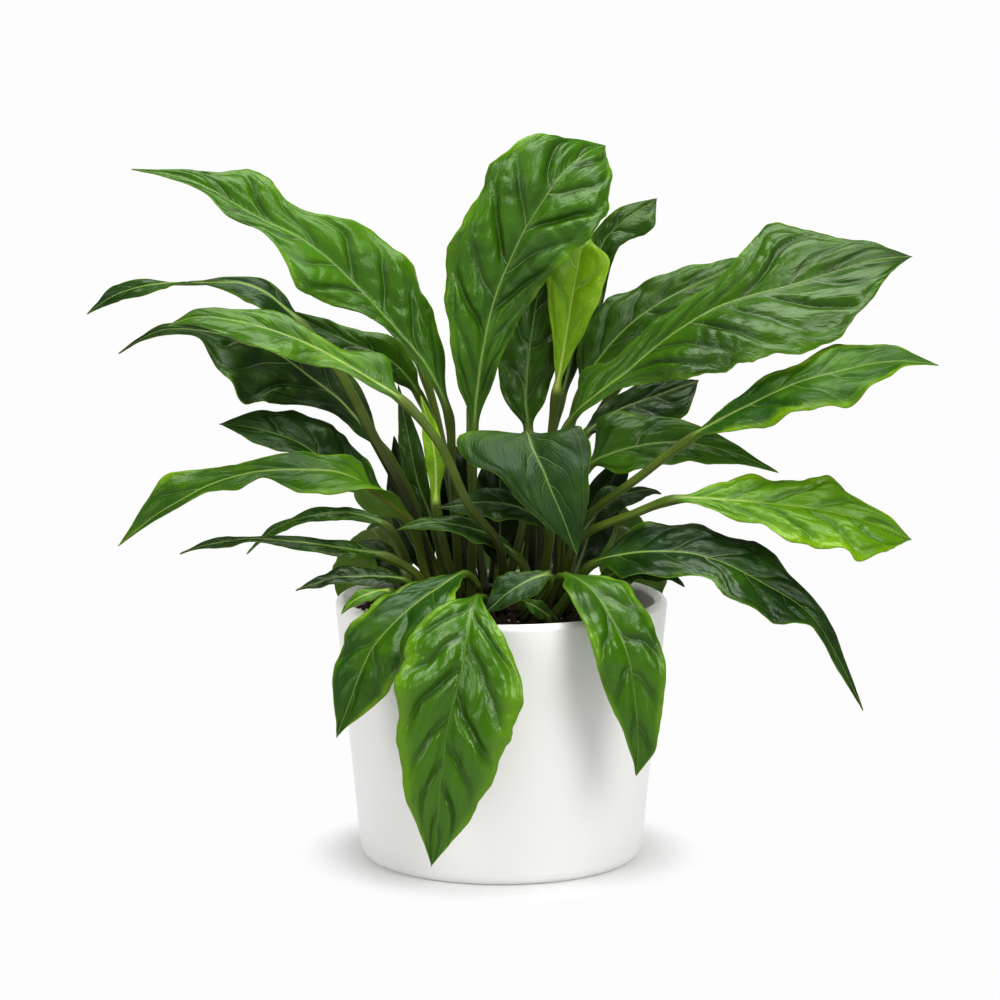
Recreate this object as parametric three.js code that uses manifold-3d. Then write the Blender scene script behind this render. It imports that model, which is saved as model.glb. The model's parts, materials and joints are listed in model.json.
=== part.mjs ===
// A potted anthurium of the bird's-nest kind: a tuft of long-stalked leaves growing from soil
// in a round white ceramic pot. Millimetres, +Z up, the origin at the middle of the pot's foot
// on the surface that it stands on. -Y is the plant's front, +X its right.
import * as THREE from 'three';
import { mergeVertices } from 'three/addons/utils/BufferGeometryUtils.js';
import Module from 'manifold-3d';

const wasm = await Module();
wasm.setup();

// Pot: a slightly tapered wall with a round lip and a round edge at the foot.
const RIM_RADIUS = 120;
const POT_HEIGHT = 190;
const FOOT_RADIUS = 103;
const FOOT_EDGE_RADIUS = 9;
const WALL = 9.5;
const FLOOR = 9;
const POT_SEGMENTS = 48;
const ARC_STEPS = 5;
const MERGE_DISTANCE = 1e-4;

// Three drainage holes stand round the middle of the pot's floor.
const HOLE_RADIUS = 6;
const HOLE_RING_RADIUS = 48;
const HOLE_COUNT = 3;
const HOLE_SEGMENTS = 16;
const BIT_LENGTH = 4 * FLOOR;

// Soil fills the pot to a little below the lip. It is level in the middle and falls off
// towards the wall. GAP keeps it clear of the pot's floor and the leaves clear of the soil.
const GAP = 0.3;
const WALL_GAP = 2 * GAP;
const SOIL_TOP = 182;
const SOIL_CROWN = 4;
const SOIL_LEVEL_SHARE = 0.75;

// Leaves: each is one grown piece, a channelled stalk that runs on as the blade's midrib.
// Rings of points stand along it, some to each span of the stalk and some to each of the blade,
// with the last ring TIP_SHARE of a span short of the tip.
const RING_POINTS = 6;
const STALK_STEPS = 3;
const BLADE_STEPS = 2;
const TIP_SHARE = 0.08;
// Half the stalk's width, and the share of it that is left above the channel's floor.
const STALK_RADIUS = 3.2;
const CHANNEL = 0.55;
// The blade's thickness at its edge, and how far the midrib stands out of it on each face. The
// stalk's section turns into the blade's over the SHOULDER, a share of the blade's length.
const BLADE_EDGE = 0.9;
const RIB_ABOVE = 0.9;
const RIB_BELOW = 1.7;
const SHOULDER = 0.18;
const TIP_HALF_WIDTH = 0.8;
// The halves of the blade fold up from the midrib by this many degrees where a leaf gives no
// other number, and their edges wave up and down.
const USUAL_FOLD = 10;
const WAVE_HEIGHT = 2;
const WAVE_TURNS = 5 * Math.PI;
// No leaf hangs lower than this above the ground.
const LEAST_HEIGHT = 4;

const GLAZE_ROUGHNESS = 0.35;
const SOIL_ROUGHNESS = 1;
const LEAF_ROUGHNESS = 0.45;

const COLOUR = {
  ceramic: 0xe8e7e5,
  soil: 0x1d140d,
  deep: 0x2e5301,
  green: 0x324e21,
  bright: 0x678e24,
  pale: 0x5f8806,
};

const plant = new THREE.Group();

function addPiece(name, geometry, colour, roughness) {
  const material = new THREE.MeshStandardMaterial({ color: colour, roughness, metalness: 0 });
  const mesh = new THREE.Mesh(geometry, material);
  mesh.name = name;
  plant.add(mesh);
}

// ---- solids for cutting ----

function toManifold(geometry) {
  const bare = geometry.clone();
  bare.deleteAttribute('normal');
  bare.deleteAttribute('uv');
  const merged = mergeVertices(bare, MERGE_DISTANCE);
  return new wasm.Manifold(new wasm.Mesh({
    numProp: 3,
    vertProperties: new Float32Array(merged.attributes.position.array),
    triVerts: new Uint32Array(merged.index.array),
  }));
}

function toGeometry(manifold) {
  const mesh = manifold.getMesh();
  const geometry = new THREE.BufferGeometry();
  geometry.setAttribute('position', new THREE.BufferAttribute(mesh.vertProperties, 3));
  geometry.setIndex(new THREE.BufferAttribute(mesh.triVerts, 1));
  return geometry;
}

// ---- pot and soil ----

// Points along an arc in the profile plane, from one angle to another in degrees.
function arc(centreRadius, centreHeight, radius, from, to) {
  const points = [];
  for (let step = 0; step <= ARC_STEPS; step += 1) {
    const angle = THREE.MathUtils.degToRad(from + ((to - from) * step) / ARC_STEPS);
    points.push(new THREE.Vector2(
      centreRadius + radius * Math.cos(angle),
      centreHeight + radius * Math.sin(angle),
    ));
  }
  return points;
}

// A lathe profile in radius and height, turned so that the height becomes +Z.
function turned(profile) {
  const geometry = new THREE.LatheGeometry(profile, POT_SEGMENTS);
  geometry.rotateX(Math.PI / 2);
  return geometry;
}

function innerRadiusAt(height) {
  const share = height / POT_HEIGHT;
  return THREE.MathUtils.lerp(FOOT_RADIUS, RIM_RADIUS, share) - WALL;
}

function potGeometry() {
  const lip = WALL / 2;
  const lipRadius = RIM_RADIUS - lip;
  const innerFillet = FOOT_EDGE_RADIUS;
  const floorRadius = innerRadiusAt(FLOOR) - innerFillet;
  const profile = [
    new THREE.Vector2(0, 0),
    ...arc(FOOT_RADIUS - FOOT_EDGE_RADIUS, FOOT_EDGE_RADIUS, FOOT_EDGE_RADIUS, -90, 0),
    ...arc(lipRadius, POT_HEIGHT - lip, lip, 0, 180),
    ...arc(floorRadius, FLOOR + innerFillet, innerFillet, 0, -90),
    new THREE.Vector2(0, FLOOR),
  ];
  let pot = toManifold(turned(profile));
  for (let hole = 0; hole < HOLE_COUNT; hole += 1) {
    const angle = (2 * Math.PI * hole) / HOLE_COUNT;
    const bit = new THREE.CylinderGeometry(HOLE_RADIUS, HOLE_RADIUS, BIT_LENGTH, HOLE_SEGMENTS);
    bit.rotateX(Math.PI / 2);
    bit.translate(HOLE_RING_RADIUS * Math.cos(angle), HOLE_RING_RADIUS * Math.sin(angle), 0);
    pot = pot.subtract(toManifold(bit));
  }
  return toGeometry(pot);
}

function soilGeometry() {
  const innerFillet = FOOT_EDGE_RADIUS;
  const floorRadius = innerRadiusAt(FLOOR) - innerFillet;
  const topRadius = innerRadiusAt(SOIL_TOP - SOIL_CROWN);
  const profile = [
    new THREE.Vector2(0, FLOOR + GAP),
    ...arc(floorRadius, FLOOR + innerFillet, innerFillet - WALL_GAP, -90, 0),
    new THREE.Vector2(topRadius - WALL_GAP, SOIL_TOP - SOIL_CROWN),
    new THREE.Vector2(topRadius * SOIL_LEVEL_SHARE, SOIL_TOP),
    new THREE.Vector2(0, SOIL_TOP),
  ];
  return turned(profile);
}

addPiece('pot', potGeometry(), COLOUR.ceramic, GLAZE_ROUGHNESS);
addPiece('soil', soilGeometry(), COLOUR.soil, SOIL_ROUGHNESS);

// ---- leaves ----

const vector = (triple) => new THREE.Vector3(...triple);

// The way the blade's upper face looks, turning evenly through the given directions.
function facing(directions, along) {
  const place = along * (directions.length - 1);
  const before = Math.min(Math.floor(place), Math.max(directions.length - 2, 0));
  const after = Math.min(before + 1, directions.length - 1);
  return vector(directions[before]).lerp(vector(directions[after]), place - before);
}

// One leaf is a closed skin of rings of six points: the right edge above, the midrib above,
// the left edge above, then the left edge, the midrib and the right edge below. The rings
// stand at the points that the leaf passes and at even steps between them.
function leafGeometry(leaf) {
  const { root, stalk, blade, face, fold = USUAL_FOLD, lobe = [0, 0], thick = 1 } = leaf;
  const ground = new THREE.Vector3(root[0], root[1], SOIL_TOP + GAP);
  const midrib = blade.map((station) => vector(station.slice(0, 3)));
  const points = [ground, ...stalk.map(vector), ...midrib];
  const curve = new THREE.CatmullRomCurve3(points, false, 'centripetal');
  const spans = points.length - 1;
  const stalkSpans = stalk.length + 1;
  const bladeSpans = blade.length - 1;
  const reaches = new THREE.SplineCurve(blade.map(([, , , left, right]) => (
    new THREE.Vector2(left, right)
  )));
  const radius = STALK_RADIUS * thick;
  const foldAngle = THREE.MathUtils.degToRad(fold);
  const positions = [];

  function addRing(place) {
    const along = Math.max(place - stalkSpans, 0) / bladeSpans;
    const centre = curve.getPoint(place / spans);
    const forward = curve.getTangent(place / spans);
    const up = facing(face, along);
    up.addScaledVector(forward, -up.dot(forward)).normalize();
    const rightward = new THREE.Vector3().crossVectors(forward, up);
    const blend = THREE.MathUtils.smoothstep(along, 0, SHOULDER);
    const edge = THREE.MathUtils.lerp(radius, BLADE_EDGE, blend) / 2;
    const above = THREE.MathUtils.lerp(radius * CHANNEL, RIB_ABOVE, blend);
    const below = THREE.MathUtils.lerp(radius, RIB_BELOW, blend);
    const least = THREE.MathUtils.lerp(radius, TIP_HALF_WIDTH, blend);
    const reach = reaches.getPoint(along);
    const swing = WAVE_HEIGHT * blend * Math.sin(Math.PI * along);

    function addPoint(side, width, height) {
      const spot = centre.clone();
      if (side !== 0) {
        const across = along > 0 ? Math.max(width, least) : least;
        const sweep = (side > 0 ? lobe[1] : lobe[0]) * blend * (1 - along) ** 3;
        spot.addScaledVector(rightward, side * across * Math.cos(foldAngle * blend));
        spot.addScaledVector(forward, -sweep);
        spot.addScaledVector(up, across * Math.sin(foldAngle * blend));
        spot.addScaledVector(up, swing * Math.sin(WAVE_TURNS * along + side));
      }
      spot.addScaledVector(up, height);
      spot.z = Math.max(spot.z, along > 0 ? LEAST_HEIGHT : SOIL_TOP + GAP);
      positions.push(spot.x, spot.y, spot.z);
    }

    addPoint(1, reach.y, edge);
    addPoint(0, 0, above);
    addPoint(-1, reach.x, edge);
    addPoint(-1, reach.x, -edge);
    addPoint(0, 0, -below);
    addPoint(1, reach.y, -edge);
  }

  const places = [];
  for (let step = 0; step < STALK_STEPS * stalkSpans; step += 1) {
    places.push(step / STALK_STEPS);
  }
  for (let step = 0; step < BLADE_STEPS * bladeSpans; step += 1) {
    places.push(stalkSpans + step / BLADE_STEPS);
  }
  places.push(spans - TIP_SHARE);
  places.forEach(addRing);
  const foot = positions.length / 3;
  const tip = foot + 1;
  positions.push(...ground.toArray(), ...midrib[bladeSpans].toArray());

  const triangles = [];
  for (let side = 0; side < RING_POINTS; side += 1) {
    const next = (side + 1) % RING_POINTS;
    triangles.push(foot, side, next);
    for (let ring = 0; ring + 1 < places.length; ring += 1) {
      const low = ring * RING_POINTS;
      const high = low + RING_POINTS;
      triangles.push(low + side, high + side, high + next);
      triangles.push(low + side, high + next, low + next);
    }
    const last = (places.length - 1) * RING_POINTS;
    triangles.push(tip, last + next, last + side);
  }
  const geometry = new THREE.BufferGeometry();
  geometry.setAttribute('position', new THREE.Float32BufferAttribute(positions, 3));
  geometry.setIndex(triangles);
  return geometry;
}

// root: where the stalk leaves the soil. stalk: points that it passes on the way to the blade.
// blade: stations along the midrib, from the foot of the blade to its tip, each with its place
// and how far the blade reaches to its left and to its right there. face: ways that the upper
// face looks, from the foot of the blade to its tip. lobe: how far the blade's left and right
// corners sweep back past its foot. thick: the stalk's thickness against the usual.
const LEAVES = [
  {
    name: 'tall_centre',
    root: [-22, 12],
    stalk: [[-21, 12, 244]],
    blade: [
      [-20, 12, 308, 4, 4],
      [-17, 12, 342, 15, 10],
      [-12, 12, 375, 26, 17],
      [-4, 14, 407, 39, 25],
      [5, 16, 429, 45, 31],
      [17, 18, 454, 41, 39],
      [32, 22, 477, 46, 45],
      [44, 28, 493, 38, 42],
      [55, 36, 503, 25, 32],
      [65, 48, 509, 10, 18],
      [76, 62, 512, 0, 0],
    ],
    face: [[0, -1, 0.2], [0, -1, 0.3], [0.2, -0.8, 0.6]],
    tint: 'green',
  },
  {
    name: 'behind_tall',
    root: [14, 48],
    stalk: [[29, 60, 266]],
    blade: [
      [44, 74, 324, 2, 2],
      [60, 88, 383, 12, 12],
      [75, 100, 437, 10, 12],
      [90, 104, 454, 10, 16],
      [104, 108, 463, 7, 18],
      [116, 110, 471, 0, 0],
    ],
    face: [[0, -1, 0.4]],
    tint: 'deep',
  },
  {
    name: 'young_pale',
    root: [24, 36],
    stalk: [[33, 48, 261]],
    blade: [
      [40, 54, 330, 1, 2],
      [43, 54, 349, 4, 4],
      [48, 54, 378, 12, 13],
      [53, 55, 408, 21, 21],
      [57, 57, 431, 24, 23],
      [60, 60, 441, 16, 15],
      [64, 65, 446, 0, 0],
    ],
    face: [[0, -1, 0.3]],
    tint: 'pale',
  },
  {
    name: 'inner_dark',
    root: [2, 44],
    stalk: [[18, 50, 246]],
    blade: [
      [20, 58, 302, 3, 3],
      [18, 62, 326, 16, 15],
      [20, 68, 355, 24, 21],
      [24, 74, 384, 20, 20],
      [28, 80, 409, 12, 12],
      [33, 86, 435, 0, 0],
    ],
    face: [[0, -1, 0.3]],
    tint: 'deep',
  },
  {
    name: 'back_right_broad',
    root: [40, 38],
    stalk: [[45, 54, 275]],
    blade: [
      [58, 62, 329, 3, 4],
      [72, 66, 355, 20, 22],
      [95, 72, 380, 28, 29],
      [125, 78, 400, 19, 32],
      [155, 84, 414, 14, 26],
      [176, 88, 423, 7, 14],
      [194, 92, 430, 0, 0],
    ],
    face: [[-0.2, -0.8, 0.6]],
    tint: 'deep',
  },
  {
    name: 'great_right',
    root: [34, 2],
    stalk: [[35, 0, 249]],
    blade: [
      [47, -10, 314, 6, 8],
      [65, -14, 335, 28, 8],
      [88, -16, 353, 15, 13],
      [117, -20, 378, 19, 43],
      [152, -20, 400, 19, 56],
      [180, -20, 410, 32, 59],
      [204, -18, 416, 53, 59],
      [237, -14, 426, 32, 44],
      [266, -10, 434, 15, 21],
      [293, -4, 436, 0, 0],
    ],
    face: [[0.3, -0.2, 0.8], [0, -0.7, 0.7], [0, -0.8, 0.6], [0, -0.8, 0.6]],
    tint: 'deep',
  },
  {
    name: 'long_stalk_right',
    root: [46, -14],
    stalk: [[55, -34, 244], [98, -48, 284]],
    blade: [
      [133, -56, 312, 3, 5],
      [154, -58, 325, 7, 14],
      [175, -60, 336, 13, 24],
      [199, -62, 348, 20, 32],
      [215, -62, 354, 15, 34],
      [235, -60, 359, 23, 34],
      [257, -58, 364, 22, 25],
      [280, -54, 366, 13, 7],
      [307, -50, 363, 0, 0],
    ],
    face: [[0, -0.6, 0.8]],
    tint: 'bright',
  },
  {
    name: 'under_great_right',
    root: [42, 26],
    stalk: [[45, 36, 277]],
    blade: [
      [62, 42, 303, 3, 4],
      [74, 44, 312, 9, 12],
      [89, 46, 321, 12, 22],
      [108, 48, 328, 12, 26],
      [128, 50, 335, 9, 24],
      [145, 54, 341, 0, 0],
    ],
    face: [[0, -0.8, 0.6]],
    tint: 'deep',
  },
  {
    name: 'dark_arching_right',
    root: [42, 16],
    stalk: [[46, 12, 244]],
    blade: [
      [63, 4, 284, 4, 5],
      [79, 2, 293, 30, 18],
      [104, 0, 300, 27, 22],
      [129, -2, 302, 17, 19],
      [150, -4, 299, 13, 15],
      [172, -6, 293, 6, 9],
      [199, -8, 281, 0, 0],
    ],
    face: [[0, -0.75, 0.65]],
    tint: 'green',
  },
  {
    name: 'bright_right',
    root: [44, -34],
    stalk: [[54, -52, 238], [91, -66, 259]],
    blade: [
      [120, -74, 271, 3, 5],
      [139, -78, 272, 9, 7],
      [160, -80, 271, 20, 17],
      [184, -82, 269, 26, 27],
      [205, -82, 267, 23, 42],
      [226, -82, 264, 29, 38],
      [249, -80, 258, 20, 42],
      [270, -78, 250, 12, 25],
      [287, -76, 243, 0, 0],
    ],
    face: [[0, -0.6, 0.8]],
    tint: 'bright',
  },
  {
    name: 'curled_small_right',
    root: [48, 12],
    stalk: [[53, 16, 221]],
    blade: [
      [65, 24, 246, 3, 3],
      [80, 25, 257, 11, 12],
      [94, 27, 261, 4, 10],
      [107, 29, 263, 3, 5],
      [117, 30, 260, 0, 0],
    ],
    face: [[0, -0.8, 0.6]],
    tint: 'green',
  },
  {
    name: 'long_arch_right',
    root: [38, -42],
    stalk: [[53, -52, 208]],
    blade: [
      [63, -64, 223, 4, 7],
      [84, -72, 231, 23, 24],
      [108, -82, 235, 26, 28],
      [132, -90, 235, 28, 25],
      [152, -95, 230, 26, 22],
      [166, -98, 224, 29, 35],
      [183, -101, 215, 25, 31],
      [204, -104, 203, 15, 25],
      [218, -106, 190, 13, 9],
      [233, -106, 165, 7, 9],
      [252, -104, 127, 0, 0],
    ],
    face: [[0, -0.6, 0.8], [0.2, -0.6, 0.8], [0.7, -0.6, 0.4]],
    tint: 'green',
  },
  {
    name: 'under_arch_right',
    root: [60, -28],
    stalk: [[59, -40, 203]],
    blade: [
      [66, -46, 207, 3, 4],
      [84, -54, 216, 12, 17],
      [105, -62, 219, 10, 13],
      [119, -66, 216, 5, 7],
      [129, -68, 208, 0, 0],
    ],
    face: [[0, -0.6, 0.8]],
    tint: 'deep',
  },
  {
    name: 'front_right_drooping',
    root: [28, -58],
    stalk: [[36, -72, 207]],
    blade: [
      [43, -84, 219, 4, 7],
      [62, -110, 213, 24, 20],
      [72, -122, 201, 24, 20],
      [80, -130, 187, 27, 24],
      [87, -134, 170, 24, 24],
      [91, -136, 148, 22, 21],
      [93, -138, 128, 17, 13],
      [94, -136, 106, 12, 6],
      [93, -134, 87, 0, 0],
    ],
    face: [[0.1, -0.3, 1], [0.2, -0.9, 0.4], [0, -1, 0.1]],
    tint: 'green',
  },
  {
    name: 'front_small',
    root: [14, -60],
    stalk: [[32, -78, 209]],
    blade: [
      [33, -90, 220, 3, 2],
      [20, -98, 218, 12, 8],
      [6, -104, 211, 11, 13],
      [-4, -107, 203, 6, 7],
      [-13, -109, 195, 0, 0],
    ],
    face: [[0, -0.8, 0.6]],
    tint: 'green',
  },
  {
    name: 'heart',
    root: [18, -14],
    stalk: [[22, -14, 219], [21, -22, 278]],
    blade: [
      [18, -34, 313, 10, 9],
      [22, -46, 303, 37, 51],
      [29, -58, 290, 37, 35],
      [35, -66, 276, 29, 25],
      [43, -72, 258, 19, 14],
      [53, -78, 232, 0, 0],
    ],
    face: [[0, -0.9, 0.5]],
    lobe: [4, 44],
    tint: 'green',
  },
  {
    name: 'front_great_drooping',
    root: [-10, -58],
    stalk: [[-9, -74, 196]],
    blade: [
      [-15, -96, 206, 5, 4],
      [-19, -122, 204, 8, 18],
      [-24, -142, 184, 29, 38],
      [-27, -150, 165, 42, 40],
      [-31, -155, 149, 46, 43],
      [-36, -158, 130, 44, 36],
      [-39, -160, 108, 39, 32],
      [-42, -160, 84, 31, 25],
      [-44, -158, 59, 19, 15],
      [-48, -154, 28, 0, 0],
    ],
    face: [[0, -0.3, 1], [0, -1, 0.2], [0, -1, 0]],
    tint: 'green',
  },
  {
    name: 'front_left_drooping',
    root: [-26, -50],
    stalk: [[-16, -56, 204]],
    blade: [
      [-25, -66, 217, 6, 4],
      [-43, -84, 210, 16, 15],
      [-60, -102, 201, 33, 22],
      [-75, -112, 189, 33, 22],
      [-89, -118, 173, 32, 24],
      [-99, -122, 152, 27, 19],
      [-106, -124, 133, 13, 11],
      [-114, -124, 112, 0, 0],
    ],
    face: [[-0.1, -0.4, 0.9], [-0.3, -0.9, 0.4]],
    tint: 'bright',
  },
  {
    name: 'left_low_small',
    root: [-54, -34],
    stalk: [],
    blade: [
      [-68, -58, 210, 4, 3],
      [-89, -68, 215, 9, 8],
      [-113, -76, 216, 7, 9],
      [-128, -80, 213, 5, 5],
      [-144, -82, 208, 0, 0],
    ],
    face: [[0, -0.6, 0.8]],
    tint: 'deep',
  },
  {
    name: 'left_rim_tiny',
    root: [-62, -48],
    stalk: [],
    blade: [
      [-79, -72, 205, 2, 2],
      [-93, -80, 205, 6, 5],
      [-104, -84, 200, 4, 4],
      [-112, -86, 192, 0, 0],
    ],
    face: [[0, -0.7, 0.7]],
    tint: 'bright',
  },
  {
    name: 'left_slender',
    root: [-56, -16],
    stalk: [[-58, -24, 206]],
    blade: [
      [-83, -32, 224, 4, 3],
      [-107, -42, 230, 8, 7],
      [-135, -50, 236, 7, 5],
      [-169, -56, 240, 4, 2],
      [-191, -58, 239, 5, 5],
      [-209, -58, 236, 3, 3],
      [-227, -58, 230, 0, 0],
    ],
    face: [[0, -0.8, 0.6], [0, -0.6, 0.8]],
    tint: 'deep',
  },
  {
    name: 'left_slender_back',
    root: [-64, 12],
    stalk: [[-69, 12, 213]],
    blade: [
      [-84, 14, 239, 3, 2],
      [-110, 12, 248, 7, 6],
      [-131, 10, 248, 6, 5],
      [-149, 6, 244, 6, 5],
      [-166, 2, 237, 4, 3],
      [-184, -4, 221, 0, 0],
    ],
    face: [[0, -0.7, 0.7]],
    tint: 'green',
  },
  {
    name: 'left_bright_arching',
    root: [-44, -6],
    stalk: [[-55, -8, 207]],
    blade: [
      [-64, -16, 244, 3, 4],
      [-86, -28, 267, 13, 40],
      [-113, -38, 284, 23, 20],
      [-142, -46, 288, 20, 15],
      [-167, -50, 288, 6, 9],
      [-188, -52, 284, 12, 10],
      [-209, -54, 277, 5, 16],
      [-226, -56, 268, 4, 21],
      [-244, -56, 257, 4, 13],
      [-271, -54, 235, 0, 0],
    ],
    face: [[-0.4, 0.4, 0.7], [0, -0.8, 0.6], [0, -0.8, 0.6], [0, -0.8, 0.6]],
    tint: 'bright',
  },
  {
    name: 'left_dark',
    root: [-44, 20],
    stalk: [[-56, 22, 213]],
    blade: [
      [-85, 22, 259, 4, 3],
      [-110, 19, 276, 16, 22],
      [-128, 15, 287, 14, 25],
      [-145, 11, 299, 15, 26],
      [-163, 7, 307, 14, 20],
      [-181, 4, 312, 13, 14],
      [-203, 2, 315, 0, 0],
    ],
    face: [[0, -0.7, 0.7]],
    tint: 'green',
  },
  {
    name: 'left_great_dark',
    root: [-34, 30],
    stalk: [[-51, 34, 211], [-67, 36, 259]],
    blade: [
      [-85, 34, 291, 3, 3],
      [-99, 32, 307, 8, 10],
      [-117, 30, 328, 12, 19],
      [-139, 27, 346, 27, 26],
      [-159, 24, 361, 44, 26],
      [-180, 20, 371, 49, 16],
      [-199, 17, 377, 39, 5],
      [-217, 15, 381, 8, 4],
      [-246, 13, 381, 6, 5],
      [-276, 12, 365, 0, 0],
    ],
    face: [[0, -0.8, 0.6], [0, -0.8, 0.6], [0, -0.5, 0.9]],
    tint: 'deep',
  },
  {
    name: 'long_bright_left',
    root: [0, -30],
    stalk: [[-1, -46, 233], [-23, -60, 265], [-43, -62, 308]],
    blade: [
      [-69, -62, 339, 4, 3],
      [-90, -62, 353, 6, 23],
      [-113, -63, 367, 8, 11],
      [-133, -64, 378, 17, 9],
      [-161, -65, 389, 22, 17],
      [-189, -66, 396, 15, 10],
      [-213, -66, 398, 8, 6],
      [-232, -66, 392, 0, 0],
    ],
    face: [[0, -0.7, 0.7]],
    tint: 'bright',
  },
  {
    name: 'twisted_left',
    root: [-52, 2],
    stalk: [[-53, 0, 210], [-69, 2, 260], [-93, 3, 307], [-117, 2, 353]],
    blade: [
      [-144, 0, 387, 4, 3],
      [-157, -2, 400, 16, 8],
      [-171, -4, 411, 17, 11],
      [-188, -5, 417, 11, 5],
      [-211, -6, 417, 3, 2],
      [-233, -6, 417, 3, 2],
      [-254, -6, 415, 8, 6],
      [-276, -6, 408, 7, 7],
      [-296, -6, 395, 0, 0],
    ],
    face: [[0, -0.7, 0.7]],
    thick: 1.25,
    tint: 'green',
  },
  {
    name: 'back_left_dark',
    root: [-18, 48],
    stalk: [[-38, 60, 266]],
    blade: [
      [-61, 66, 329, 3, 3],
      [-82, 66, 354, 16, 17],
      [-108, 64, 366, 17, 12],
      [-133, 62, 378, 13, 9],
      [-156, 60, 392, 0, 0],
    ],
    face: [[0, -0.8, 0.6]],
    tint: 'green',
  },
  {
    name: 'great_left_wavy',
    root: [-30, 36],
    stalk: [[-34, 36, 240], [-36, 33, 278]],
    blade: [
      [-39, 28, 321, 3, 3],
      [-55, 27, 355, 5, 18],
      [-73, 26, 377, 4, 32],
      [-91, 25, 398, 12, 40],
      [-109, 24, 417, 26, 40],
      [-127, 23, 434, 36, 36],
      [-148, 22, 449, 24, 21],
      [-171, 21, 460, 10, 26],
      [-193, 20, 473, 13, 33],
      [-208, 19, 482, 6, 16],
      [-227, 19, 490, 5, 8],
      [-265, 18, 497, 0, 0],
    ],
    face: [[0.15, -0.8, 0.6], [0, -0.8, 0.6], [0, -0.7, 0.7]],
    tint: 'green',
  },
  {
    name: 'upright_dark',
    root: [-40, 50],
    stalk: [],
    blade: [
      [-49, 50, 231, 2, 2],
      [-61, 52, 264, 8, 8],
      [-68, 54, 297, 8, 8],
      [-76, 56, 338, 0, 0],
    ],
    face: [[0, -1, 0.2]],
    tint: 'deep',
  },
  {
    name: 'upright_yellow_green',
    root: [-30, -10],
    stalk: [],
    blade: [
      [-47, -12, 258, 1, 1],
      [-47, -10, 285, 7, 7],
      [-51, -8, 312, 6, 6],
      [-58, -6, 337, 0, 0],
    ],
    face: [[0, -1, 0.2]],
    tint: 'pale',
  },
  {
    name: 'centre_small',
    root: [14, -28],
    stalk: [[18, -30, 213]],
    blade: [
      [10, -32, 224, 3, 3],
      [-8, -34, 239, 11, 7],
      [-33, -36, 247, 10, 8],
      [-54, -38, 249, 7, 5],
      [-75, -40, 244, 0, 0],
    ],
    face: [[0, -0.6, 0.8]],
    tint: 'green',
  },
  {
    name: 'under_heart',
    root: [26, -24],
    stalk: [[32, -30, 220]],
    blade: [
      [33, -36, 244, 3, 2],
      [12, -40, 260, 12, 9],
      [-11, -40, 264, 16, 12],
      [-29, -40, 262, 8, 6],
      [-45, -40, 260, 0, 0],
    ],
    face: [[0, -0.7, 0.7]],
    tint: 'green',
  },
  {
    name: 'left_low_dark',
    root: [-62, 0],
    stalk: [],
    blade: [
      [-70, 0, 205, 3, 2],
      [-84, -2, 220, 11, 9],
      [-98, -6, 226, 9, 7],
      [-111, -10, 226, 0, 0],
    ],
    face: [[0, -0.7, 0.7]],
    tint: 'deep',
  },
  {
    name: 'sheath_front',
    root: [36, -74],
    stalk: [],
    blade: [
      [33, -77, 188, 4, 4],
      [28, -79, 193, 7, 6],
      [22, -80, 197, 6, 5],
      [15, -80, 201, 0, 0],
    ],
    face: [[0.3, -0.9, 0.4]],
    tint: 'bright',
  },
  {
    name: 'inner_back_left',
    root: [-52, 44],
    stalk: [],
    blade: [
      [-54, 48, 195, 2, 2],
      [-59, 54, 215, 13, 11],
      [-65, 60, 237, 16, 14],
      [-70, 66, 258, 15, 11],
      [-75, 72, 278, 9, 6],
      [-80, 78, 297, 0, 0],
    ],
    face: [[0, -1, 0.15]],
    tint: 'deep',
  },
  {
    name: 'inner_back_left_centre',
    root: [-30, 66],
    stalk: [],
    blade: [
      [-29, 70, 194, 2, 2],
      [-31, 74, 216, 15, 14],
      [-33, 78, 238, 19, 18],
      [-34, 82, 260, 14, 17],
      [-37, 86, 279, 8, 10],
      [-39, 90, 295, 0, 0],
    ],
    face: [[0, -1, 0.15]],
    tint: 'deep',
  },
  {
    name: 'inner_back_centre',
    root: [-2, 78],
    stalk: [],
    blade: [
      [-1, 82, 195, 2, 2],
      [-1, 86, 217, 17, 15],
      [-1, 90, 240, 20, 20],
      [-1, 94, 262, 17, 18],
      [-1, 98, 280, 9, 10],
      [1, 102, 295, 0, 0],
    ],
    face: [[0, -1, 0.15]],
    tint: 'deep',
  },
  {
    name: 'inner_back_right_centre',
    root: [26, 68],
    stalk: [],
    blade: [
      [26, 72, 194, 2, 2],
      [31, 76, 215, 14, 15],
      [34, 80, 237, 19, 19],
      [38, 84, 259, 17, 17],
      [41, 88, 279, 10, 10],
      [44, 92, 297, 0, 0],
    ],
    face: [[0, -1, 0.15]],
    tint: 'deep',
  },
  {
    name: 'inner_back_right',
    root: [54, 44],
    stalk: [],
    blade: [
      [54, 48, 195, 2, 2],
      [61, 54, 215, 11, 13],
      [69, 60, 237, 15, 16],
      [78, 66, 257, 13, 13],
      [87, 72, 274, 7, 8],
      [94, 78, 288, 0, 0],
    ],
    face: [[0, -1, 0.15]],
    tint: 'deep',
  },
  {
    name: 'back_left_low',
    root: [-30, 86],
    stalk: [[-42, 97, 215]],
    blade: [
      [-56, 118, 240, 4, 4],
      [-72, 138, 232, 18, 18],
      [-86, 162, 200, 24, 24],
      [-96, 178, 150, 17, 17],
      [-102, 184, 96, 0, 0],
    ],
    face: [[-0.2, 0.5, 0.8], [-0.3, 0.9, 0.2]],
    tint: 'green',
  },
  {
    name: 'back_centre_low',
    root: [-6, 97],
    stalk: [[-4, 107, 222]],
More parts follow.
